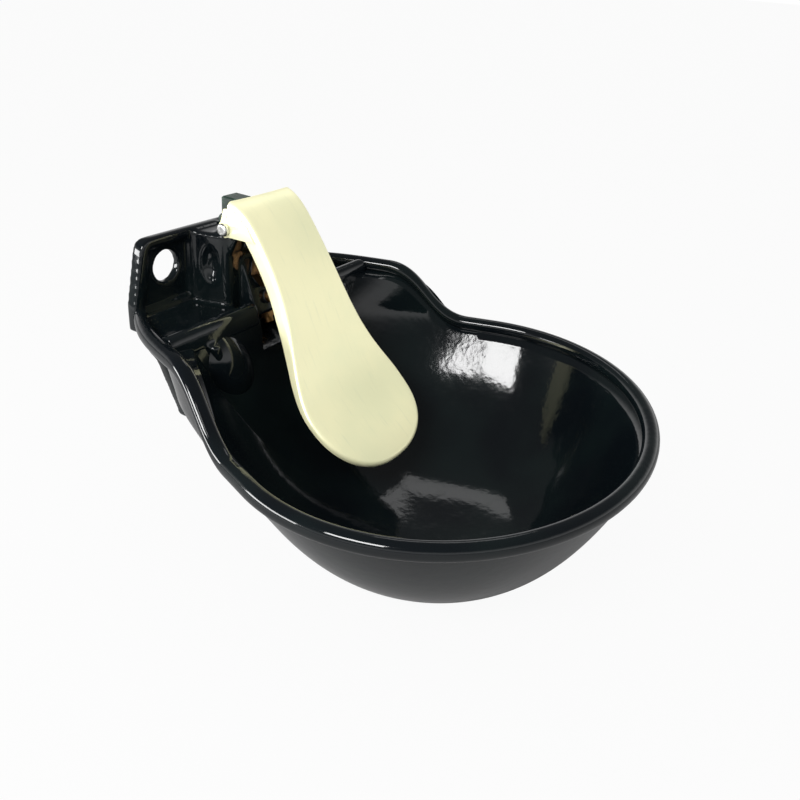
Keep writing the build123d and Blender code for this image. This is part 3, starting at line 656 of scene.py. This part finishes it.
def column_blocks():
    """The column with its dimples, the water channel's boss and the tilted valve block."""
    column = prism("Z", COLUMN_PLAN, SHELF_LOW, COLUMN_TOP)
    run = Vector((-8.0, 20.5)).normalized()
    out = Vector((-run.y, run.x))
    spot = Vector((-22.0, -27.5)) + run * 11.5 + out * 2.6
    tools = []
    for turn in (-1, 1):
        oval = []
        for k in range(DIMPLE_STEPS + 1):
            tilt = math.pi * (k / DIMPLE_STEPS - 0.5)
            r = max(DIMPLE_R * math.cos(tilt), 0.05)
            z = DIMPLE_TALL * math.sin(tilt) + DIMPLE_Z
            oval.append(np.array([
                (turn * spot.x + r * math.cos(t), spot.y + r * math.sin(t), z)
                for t in np.linspace(0, 2 * math.pi, 33)[:-1]
            ]))
        points, faces = skin(oval)
        dimple = mesh_object("dimple", points * MM, faces)
        tidy(dimple)
        tools.append(dimple)
    bore = rod(FACE_MID + VALVE_OUT, -VALVE_OUT, 20.0, VALVE_BORE_R)
    boss = rod((0, CHANNEL_Y, BOSS_LOW), (0, 0, 1), BOSS_LENGTH, BOSS_R)
    inlet = rod((0, CHANNEL_Y, BOSS_LOW - 4.0), (0, 0, 1), 20.0, INLET_R)
    carve(column, tools + [bore])
    carve(boss, [bore, inlet])
    low = FACE_MID + DOWN_FACE * BLOCK_DOWN
    top = FACE_MID - DOWN_FACE * BLOCK_UP
    heel = low - VALVE_OUT * BLOCK_HEEL
    side = [
        (CHANNEL_Y, top.z + 2), (top.y, top.z + 2), (top.y, top.z),
        (low.y, low.z), (heel.y, heel.z), (CHANNEL_Y, low.z),
    ]
    block = prism("X", side, -BLOCK_HALF, BLOCK_HALF)
    carve(block, [bore])
    use_up(tools + [bore, inlet])
    return [column, boss, block]


def lug_blocks():
    y, z = HINGE
    lugs = []
    for turn in (-1, 1):
        low, high = sorted((turn * LUG_INNER, turn * LUG_OUTER))
        lugs.append(prism("X", ring_outline(HINGE, LUG_R), low, high))
        foot = [(y - LUG_R, z), (y + LUG_R, z), (y + 12.0, 14.0), (y + 1.5, 3.0)]
        lugs.append(prism("X", foot, low, high))
    return lugs


def leg_blocks():
    """Two splayed legs down the wall, each with a web to the bowl."""
    legs = []
    for turn in (-1, 1):
        legs.append(prism("Y", [(turn * x, z) for x, z in LEG_STRIP], -PLATE_THICK, 0.0))
        foot = ring_outline((turn * LEG_FOOT[0], LEG_FOOT[1]), LEG_FOOT_R)
        legs.append(prism("Y", foot, -PLATE_THICK, 0.0))
        points = []
        run, fall = WEB_LEAN
        for side in (-WEB_HALF, WEB_HALF):
            for y, z in WEB_SIDE:
                points.append((turn * (WEB_TOP_X - (WEB_TOP - z) * run / fall) + side, y, z))
        faces = [(0, 1, 2, 3, 4), (9, 8, 7, 6, 5)]
        faces += [(i, (i + 1) % 5, 5 + (i + 1) % 5, 5 + i) for i in range(5)]
        web = mesh_object("web", np.array(points) * MM, faces)
        tidy(web)
        legs.append(web)
    return legs


def ledge_blocks():
    """The ledge's floor, its rounded lip, and the wall and rib behind the notch."""
    rim = outer_plan(rim_curves(LEDGE_RIM_INSET))
    side = rim[(rim[:, 1] > LEDGE_REAR_Y)]
    slab = prism("Z", [tuple(p) for p in side], SHELF_LOW, SHELF_Z)
    bar = prism("X", LEDGE_LIP, -LEDGE_LIP_HALF, LEDGE_LIP_HALF)
    wall = prism("X", REAR_WALL_SIDE, -REAR_WALL_HALF, REAR_WALL_HALF)
    notch = notch_tool()
    for block in (slab, bar, wall):
        carve(block, [notch])
    use_up([notch])
    rib = prism("X", RIB_SIDE, -RIB_HALF, RIB_HALF)
    return [slab, bar, wall, rib]


def make_head():
    """Plate, column, lugs, legs and ledge, run together as one casting."""
    parts = plate_blocks() + column_blocks() + lug_blocks() + leg_blocks() + ledge_blocks()
    head = join("bowl_head", parts)
    remesh = head.modifiers.new("remesh", "REMESH")
    remesh.mode = "VOXEL"
    remesh.voxel_size = HEAD_VOXEL * MM
    smooth = head.modifiers.new("smooth", "SMOOTH")
    smooth.factor = 0.5
    smooth.iterations = HEAD_SMOOTHING
    settle(head)
    smooth_shade(head)
    return head


def make_pads():
    """Two rounded pads on the rear inner wall, under the ledge."""
    pads = []
    for turn in (-1, 1):
        rows = []
        for k in range(PAD_STEPS + 1):
            tilt = math.pi * (k / PAD_STEPS - 0.5)
            r = max(PAD_R * math.cos(tilt), 0.02)
            rows.append(np.array([
                (r * math.cos(t), r * math.sin(t), PAD_HALF_LENGTH * math.sin(tilt))
                for t in np.linspace(0, 2 * math.pi, 73)[:-1]
            ]))
        points, faces = skin(rows)
        pad = mesh_object("pad", points * MM, faces)
        x, y, z = PAD_MIDDLE
        place = Matrix.Translation(Vector((turn * x, y, z)) * MM)
        pad.data.transform(place @ Matrix.Rotation(math.radians(turn * PAD_LEAN), 4, "Y"))
        tidy(pad)
        back = prism("Z", [(-FAR, PAD_FRONT_Y), (FAR, PAD_FRONT_Y), (FAR, 50), (-FAR, 50)], -FAR, FAR)
        carve(pad, [back])
        use_up([back])
        pads.append(pad)
    pair = join("inner_pads", pads)
    smooth_shade(pair, 50)
    return pair


for piece in (make_shell(), make_head(), make_pads()):
    dress(piece, "enamel")
    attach(piece, "bowl")
    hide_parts("bowl_casting")


# ---- paddle -----------------------------------------------------------------
PADDLE_LINE = (
    (-31.2, 36.6), (-40.6, 30.9), (-47.5, 24.9), (-53.5, 18.1), (-58.7, 9.5), (-63.8, 0.2), (-68.7, -8.4),
    (-73.8, -16.7), (-78.8, -25.2), (-82.7, -33.6), (-86.6, -41.8), (-91.0, -49.7), (-96.6, -57.2),
    (-103.7, -63.9), (-111.2, -70.0), (-118.5, -75.9), (-125.0, -82.5), (-130.4, -88.1), (-135.0, -93.0),
)
PADDLE_WIDTHS = (25.4, 24.9, 24.6, 24.7, 24.9, 25.7, 26.7, 28.0, 29.8, 32.4, 35.6, 38.8, 41.6, 43.3)
SPOON_HALF = 43.5
SPOON_START = 4.0            # the spoon's round end starts this far past the last width
SPOON_POWER = 2.2            # 2 would make the spoon's end an ellipse
PADDLE_SHEET = 1.5
PADDLE_CORNER = 2.4          # radius between face and flange
FLANGE_AT = (0, 18, 70, 95, 125)     # lengths along the paddle
FLANGE_DEPTHS = (9.5, 9.2, 8.6, 6.0, 3.6, 3.0)
DISH_SHANK = 0.35
DISH_SPOON = 1.3             # more than the shank's
DISH_START = 60.0
DISH_RISE = 60.0
DISH_FADE = 30.0             # the dish runs out over this much of the tip
LENGTH_STEPS = 150
LENGTH_EASE = 1.9            # crowds the points towards the tip
EASED = 0.6                  # the rest is spaced evenly
HALF_STEPS = 14
CORNER_ROWS = 5
FLANGE_ROWS = 4
EAR_R = 4.6
EAR_INNER = 23.9
EAR_OUTER = 25.3
EAR_ARC = (-2.1, 0.9)
EAR_WEB = ((0.6, 11.0), (-6.0, 11.5), (-16.0, 3.5), (-21.0, -3.5))    # from the hinge
PIN_HOLE_R = 2.6
PADDLE_BEVEL = 0.25


class PaddleForm:
    """The paddle's side line and width along its length."""

    def __init__(self):
        line = np.array(PADDLE_LINE)
        steps = np.linalg.norm(np.diff(line, axis=0), axis=1)
        along = np.concatenate([[0.0], np.cumsum(steps)])
        fit = np.polynomial.Polynomial.fit
        self.length = along[-1]
        self.line = [fit(along, line[:, k], 7) for k in (0, 1)]
        self.slope = [curve.deriv() for curve in self.line]
        self.widest = along[len(PADDLE_WIDTHS) - 1] + SPOON_START
        knots = np.concatenate([along[:len(PADDLE_WIDTHS)], [self.widest]])
        self.width_fit = fit(knots, np.array(PADDLE_WIDTHS + (SPOON_HALF,)), 6)

    def half_width(self, s):
        past = np.clip((s - self.widest) / (self.length - self.widest), 0.0, 1.0)
        spoon = self.width_fit(self.widest) * (1.0 - past ** SPOON_POWER) ** (1 / SPOON_POWER)
        return np.where(s < self.widest, self.width_fit(np.minimum(s, self.widest)), spoon)

    def point(self, s, x, back):
        """The place s along, x across and back behind the side line."""
        place = np.stack([curve(s) for curve in self.line], -1)
        run = np.stack([curve(s) for curve in self.slope], -1)
        run /= np.linalg.norm(run, axis=-1, keepdims=True)
        rear = np.stack([-run[..., 1], run[..., 0]], -1)
        flat = place + rear * np.asarray(back)[..., None]
        return np.stack([x, flat[..., 0], flat[..., 1]], -1)


def paddle_grid():
    """Points of the paddle's front skin, flange edge to flange edge."""
    form = PaddleForm()
    t = np.linspace(0, 1, LENGTH_STEPS + 1)
    s = form.length * (1.0 - (1.0 - t) ** LENGTH_EASE)
    s = EASED * s + (1 - EASED) * form.length * t
    outline = np.stack([s, form.half_width(s)], 1)
    tangent = np.gradient(outline, axis=0)
    tangent[-1] = (0.0, -1.0)
    tangent /= np.linalg.norm(tangent, axis=1)[:, None]
    out = np.stack([-tangent[:, 1], tangent[:, 0]], 1)
    depth = np.interp(s, FLANGE_AT + (form.length,), FLANGE_DEPTHS)
    core = outline - out * PADDLE_CORNER
    core[:, 1] = np.maximum(core[:, 1], 0.0)
    rise = np.clip((s - DISH_START) / DISH_RISE, 0, 1)
    tip = np.clip((form.length - core[:, 0]) / DISH_FADE, 0, 1)
    columns = []
    for k in range(HALF_STEPS + 1):
        share = k / HALF_STEPS
        dish = (DISH_SHANK + DISH_SPOON * rise * rise * (3 - 2 * rise)) * (1.0 - share ** 2)
        columns.append(form.point(core[:, 0], core[:, 1] * share, dish * tip))
    for k in range(1, CORNER_ROWS + 1):
        turn = math.radians(90.0 * k / CORNER_ROWS)
        edge = core + out * PADDLE_CORNER * math.sin(turn)
        back = PADDLE_CORNER * (1 - math.cos(turn))
        columns.append(form.point(edge[:, 0], np.maximum(edge[:, 1], 0.0), back))
    for k in range(1, FLANGE_ROWS + 1):
        back = PADDLE_CORNER + (depth - PADDLE_CORNER) * k / FLANGE_ROWS
        columns.append(form.point(outline[:, 0], outline[:, 1], back))
    half = np.array(columns)
    return np.concatenate([half[1:][::-1] * (-1, 1, 1), half])


def paddle_sheet():
    grid = paddle_grid()
    rows, length = grid.shape[:2]
    faces = []
    for r in range(rows - 1):
        for i in range(length - 1):
            a = r * length + i
            faces.append((a, a + 1, a + length + 1, a + length))
    sheet = mesh_object("paddle_sheet", grid.reshape(-1, 3) * MM, faces)
    tidy(sheet, 2e-5, recalc=False)
    middle = sheet.data.polygons[len(sheet.data.polygons) // 2]
    if middle.normal.y > 0:
        sheet.data.flip_normals()
    thick = sheet.modifiers.new("thick", "SOLIDIFY")
    thick.thickness = PADDLE_SHEET * MM
    thick.offset = -1.0
    thick.use_even_offset = True
    settle(sheet)
    return sheet


def paddle_ears():
    ears = []
    y, z = HINGE
    for turn in (-1, 1):
        low, high = sorted((turn * EAR_INNER, turn * EAR_OUTER))
        outline = [(y + EAR_R * math.cos(a), z + EAR_R * math.sin(a)) for a in np.linspace(*EAR_ARC, 24)]
        outline += [(y + p, z + q) for p, q in EAR_WEB]
        ear = prism("X", outline, low, high)
        pin = rod((-40, y, z), (1, 0, 0), 80.0, PIN_HOLE_R)
        carve(ear, [pin])
        use_up([pin])
        ears.append(ear)
    return ears


def make_paddle():
    paddle = join("push_paddle", [paddle_sheet()] + paddle_ears())
    bevel = paddle.modifiers.new("edge", "BEVEL")
    bevel.width = PADDLE_BEVEL * MM
    bevel.segments = 2
    bevel.limit_method = "ANGLE"
    bevel.angle_limit = math.radians(50)
    settle(paddle)
    smooth_shade(paddle, 38)
    return paddle


push_paddle = make_paddle()
dress(push_paddle, "paddle_steel")
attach(push_paddle, "paddle")
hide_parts("paddle")


# ---- thread above the column ------------------------------------------------
THREAD_TURNS = 3
THREAD_PITCH = 1.15
THREAD_LOW_Z = 17.3
THREAD_R = 10.15
THREAD_CREST_R = 0.42


def thread_rings(name, inputs, material):
    """Rings of one thread, stacked along Z by a node tree."""
    tree = bpy.data.node_groups.new(name, "GeometryNodeTree")
    tree.interface.new_socket("Geometry", in_out="INPUT", socket_type="NodeSocketGeometry")
    tree.interface.new_socket("Geometry", in_out="OUTPUT", socket_type="NodeSocketGeometry")
    for key, value in inputs.items():
        kind = "NodeSocketInt" if isinstance(value, int) else "NodeSocketFloat"
        tree.interface.new_socket(key, in_out="INPUT", socket_type=kind).default_value = value
    entry = tree.nodes.new("NodeGroupInput")
    exit_node = tree.nodes.new("NodeGroupOutput")

    def add(kind, links=None, settings=None):
        node = tree.nodes.new(kind)
        for key, value in (settings or {}).items():
            setattr(node, key, value)
        for key, value in (links or {}).items():
            if hasattr(value, "is_output"):
                tree.links.new(value, node.inputs[key])
            else:
                node.inputs[key].default_value = value
        return node

    step = add("ShaderNodeCombineXYZ", {"Z": entry.outputs["Pitch"]})
    first = add("ShaderNodeCombineXYZ", {"Y": entry.outputs["Axis Y"], "Z": entry.outputs["Start Z"]})
    line = add(
        "GeometryNodeMeshLine",
        {"Count": entry.outputs["Turns"], "Start Location": first.outputs[0], "Offset": step.outputs[0]},
        {"mode": "OFFSET"},
    )
    loop = add("GeometryNodeCurvePrimitiveCircle", {"Radius": entry.outputs["Radius"], "Resolution": 72})
    crest = add("GeometryNodeCurvePrimitiveCircle", {"Radius": entry.outputs["Crest"], "Resolution": 8})
    ring = add("GeometryNodeCurveToMesh", {"Curve": loop.outputs[0], "Profile Curve": crest.outputs[0]})
    stack = add("GeometryNodeInstanceOnPoints", {"Points": line.outputs[0], "Instance": ring.outputs[0]})
    real = add("GeometryNodeRealizeInstances", {"Geometry": stack.outputs[0]})
    dressed = add("GeometryNodeSetMaterial", {"Geometry": real.outputs[0], "Material": material})
    tree.links.new(dressed.outputs[0], exit_node.inputs["Geometry"])
    obj = mesh_object(name, [], [])
    modifier = obj.modifiers.new("rings", "NODES")
    modifier.node_group = tree
    settle(obj)
    tidy(obj)
    smooth_shade(obj, 60)
    return obj


plug_thread = thread_rings(
    "plug_thread",
    {
        "Turns": THREAD_TURNS, "Pitch": THREAD_PITCH * MM, "Start Z": THREAD_LOW_Z * MM,
        "Axis Y": CHANNEL_Y * MM, "Radius": THREAD_R * MM, "Crest": THREAD_CREST_R * MM,
    },
    FINISHES["plug_iron"],
)
dress(plug_thread, "plug_iron")
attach(plug_thread, "bowl")


# ---- floor, light, camera ---------------------------------------------------
FLOOR_Z = -0.1345
FLOOR_HALF = 60.0
FLOOR_GLOW = 0.94            # share of plain white in what the camera sees of the floor
FLOOR_GREY = 0.34            # what everything but the camera sees, so that the enamel stays dark


def floor_finish():
    f = Finish("pale_floor", Base_Color=rgb(FLOOR_GREY, FLOOR_GREY, FLOOR_GREY), Roughness=0.9)
    seen = f.add("ShaderNodeLightPath", out="Is Camera Ray")
    glow = f.add("ShaderNodeEmission", None, {"Color": rgb(1, 1, 1), "Strength": 1.0})
    body = Wire(f.tree, f.shader.outputs[0])
    blend = f.add("ShaderNodeMixShader", None, {0: seen * FLOOR_GLOW, 1: body, 2: glow})
    f.tree.links.new(blend.socket, f.tree.nodes["Material Output"].inputs["Surface"])
    return f.material


def make_stage():
    h, z = FLOOR_HALF, FLOOR_Z
    floor = mesh_object("floor", [(-h, -h, z), (h, -h, z), (h, h, z), (-h, h, z)], [(0, 1, 2, 3)])
    floor.data.materials.append(floor_finish())


LAMP_TARGET = Vector((0.0, -0.14, -0.07))


def lamp(name, direction, distance, size, level):
    """An area lamp aimed at the bowl; level is how bright its face looks."""
    light = bpy.data.lights.new(name, "AREA")
    light.shape = "RECTANGLE"
    light.size, light.size_y = size
    light.energy = math.pi * size[0] * size[1] * level
    place = LAMP_TARGET + Vector(direction).normalized() * distance
    obj = bpy.data.objects.new(name, light)
    obj.location = place
    obj.rotation_euler = (LAMP_TARGET - place).to_track_quat("-Z", "Y").to_euler()
    bpy.context.scene.collection.objects.link(obj)


CAMERA_ANGLES = (-59.99, 28.25, 4.96)        # turn, rise and roll, degrees
CAMERA_TARGET = Vector((0.0203, -0.1199, -0.07047))
CAMERA_DISTANCE = 0.4735
CAMERA_SENSOR = 36.0
CAMERA_LENS = 806.67 / 800.0 * CAMERA_SENSOR


def make_camera():
    turn, rise, roll = (math.radians(v) for v in CAMERA_ANGLES)
    back = Vector((math.sin(turn) * math.cos(rise), -math.cos(turn) * math.cos(rise), math.sin(rise)))
    right = Vector((math.cos(turn), math.sin(turn), 0.0))
    up = back.cross(right)
    across = right * math.cos(roll) + up * math.sin(roll)
    over = up * math.cos(roll) - right * math.sin(roll)
    place = CAMERA_TARGET + back * CAMERA_DISTANCE
    camera = bpy.data.cameras.new("camera")
    camera.sensor_fit = "HORIZONTAL"
    camera.sensor_width = CAMERA_SENSOR
    camera.lens = CAMERA_LENS
    camera.clip_start = 0.01
    obj = bpy.data.objects.new("camera", camera)
    obj.matrix_world = Matrix((
        (across.x, over.x, back.x, place.x),
        (across.y, over.y, back.y, place.y),
        (across.z, over.z, back.z, place.z),
        (0, 0, 0, 1),
    ))
    bpy.context.scene.collection.objects.link(obj)
    bpy.context.scene.camera = obj


AMBIENT = 1.00               # the sky's light, the same from all round
CEILING = 0.12               # what gloss sees of the sky overhead
CEILING_RISE = (0.12, 0.50)  # the sky that gloss sees darkens between these heights


def make_world():
    world = bpy.data.worlds.new("studio")
    bpy.context.scene.world = world
    world.use_nodes = True
    f = Shading(world.node_tree)
    ground = f.tree.nodes["Background"]
    paths = f.tree.nodes.new("ShaderNodeLightPath")
    camera, clear, gloss = (
        Wire(f.tree, paths.outputs[name])
        for name in ("Is Camera Ray", "Is Transmission Ray", "Is Glossy Ray")
    )
    direction = f.add("ShaderNodeTexCoord", out="Generated")
    height = f.add("ShaderNodeSeparateXYZ", None, {0: direction}, out="Z")
    shade = 1.0 - f.fade(height, *CEILING_RISE) * (1.0 - CEILING)
    strength = AMBIENT + (camera + clear) * (1.0 - AMBIENT) + gloss * (shade - AMBIENT)
    f.set(ground, {"Color": rgb(1, 1, 1), "Strength": strength})


make_stage()
make_camera()
make_world()
lamp("window", (-0.75, -0.06, 0.62), 0.90, (0.40, 0.20), 24.0)
lamp("far_window", (0.68, 0.28, 0.68), 1.00, (0.26, 0.16), 1.3)
lamp("low_strip", (-0.74, 0.62, 0.18), 0.90, (0.55, 0.18), 16.0)
bpy.context.scene.view_settings.view_transform = "Standard"
